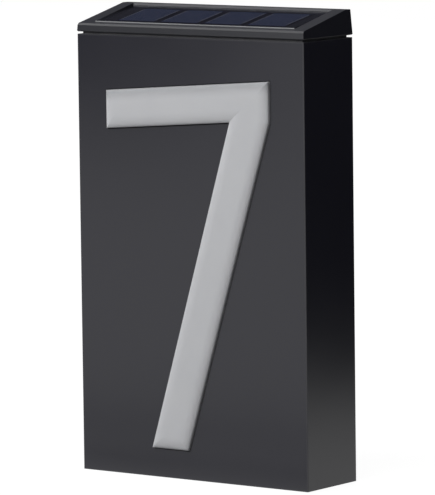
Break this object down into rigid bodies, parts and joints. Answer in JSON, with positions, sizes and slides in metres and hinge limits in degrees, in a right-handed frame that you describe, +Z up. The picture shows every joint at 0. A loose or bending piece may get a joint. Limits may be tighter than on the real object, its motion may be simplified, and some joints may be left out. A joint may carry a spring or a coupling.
{
  "type": "illuminated house number sign",
  "caption": "Box-shaped wall light with an opal figure seven in its black front and a lift-off wedge cap that carries the solar panel.",
  "frame": {"origin": "middle of the housing's flat underside", "axes": "+X to the right seen from the front, +Y into the wall, +Z up; the figure faces -Y"},
  "size_m": [0.12, 0.0382, 0.2018],
  "materials": {
    "housing_black": "satin moulded, fine spark texture",
    "cap_black": "satin moulded",
    "opal": "translucent opal, satin",
    "reflector_white": "matt white",
    "seal_rubber": "soft, matt",
    "zinc_steel": "zinc plated",
    "solar_blue": "silicon under a clear cover",
    "clear_cover": "clear, gloss",
    "panel_black": "dark backing board",
    "tape_grey": "foam tape",
    "board_green": "solder-masked board",
    "led_white": "phosphor under clear resin",
    "clear_window": "clear, gloss",
    "coil_copper": "enamelled copper",
    "part_black": "epoxy",
    "can_aluminium": "bright can",
    "battery_wrap": "plain shrink wrap",
    "contact_nickel": "nickel plated",
    "lever_white": "gloss"
  },
  "bodies": {
    "housing": {"housing_shell": "housing_black", "numeral_diffuser": "opal", "reflector_tray": "reflector_white", "tray_screws": "zinc_steel", "back_plate": "housing_black", "back_seal": "seal_rubber", "back_screws": "zinc_steel", "rim_gasket": "seal_rubber"},
    "solar_module": {"cap_shell": "cap_black", "panel_tape": "tape_grey", "panel_board": "panel_black", "solar_cells": "solar_blue", "panel_cover": "clear_cover", "module_base": "cap_black", "module_screws": "zinc_steel", "driver_board": "board_green", "led_board": "board_green", "leds": "led_white", "led_windows": "clear_window", "boost_coil": "coil_copper", "driver_chip": "part_black", "storage_capacitor": "can_aluminium", "switch_body": "contact_nickel", "battery_cell": "battery_wrap", "battery_spring": "contact_nickel", "battery_contacts": "contact_nickel", "battery_door": "cap_black", "door_screw": "zinc_steel", "panel_leads": "seal_rubber", "board_leads": "seal_rubber", "battery_leads": "seal_rubber"},
    "switch_lever": {"switch_lever": "lever_white"}
  },
  "joints": [
    {"name": "module_lift", "type": "slide", "parent": "housing", "child": "solar_module", "axis": [0, 0, 1], "range_m": [0, 0.04]},
    {"name": "switch_slide", "type": "slide", "parent": "solar_module", "child": "switch_lever", "axis": [1, 0, 0], "range_m": [0, 0.002]}
  ]
}
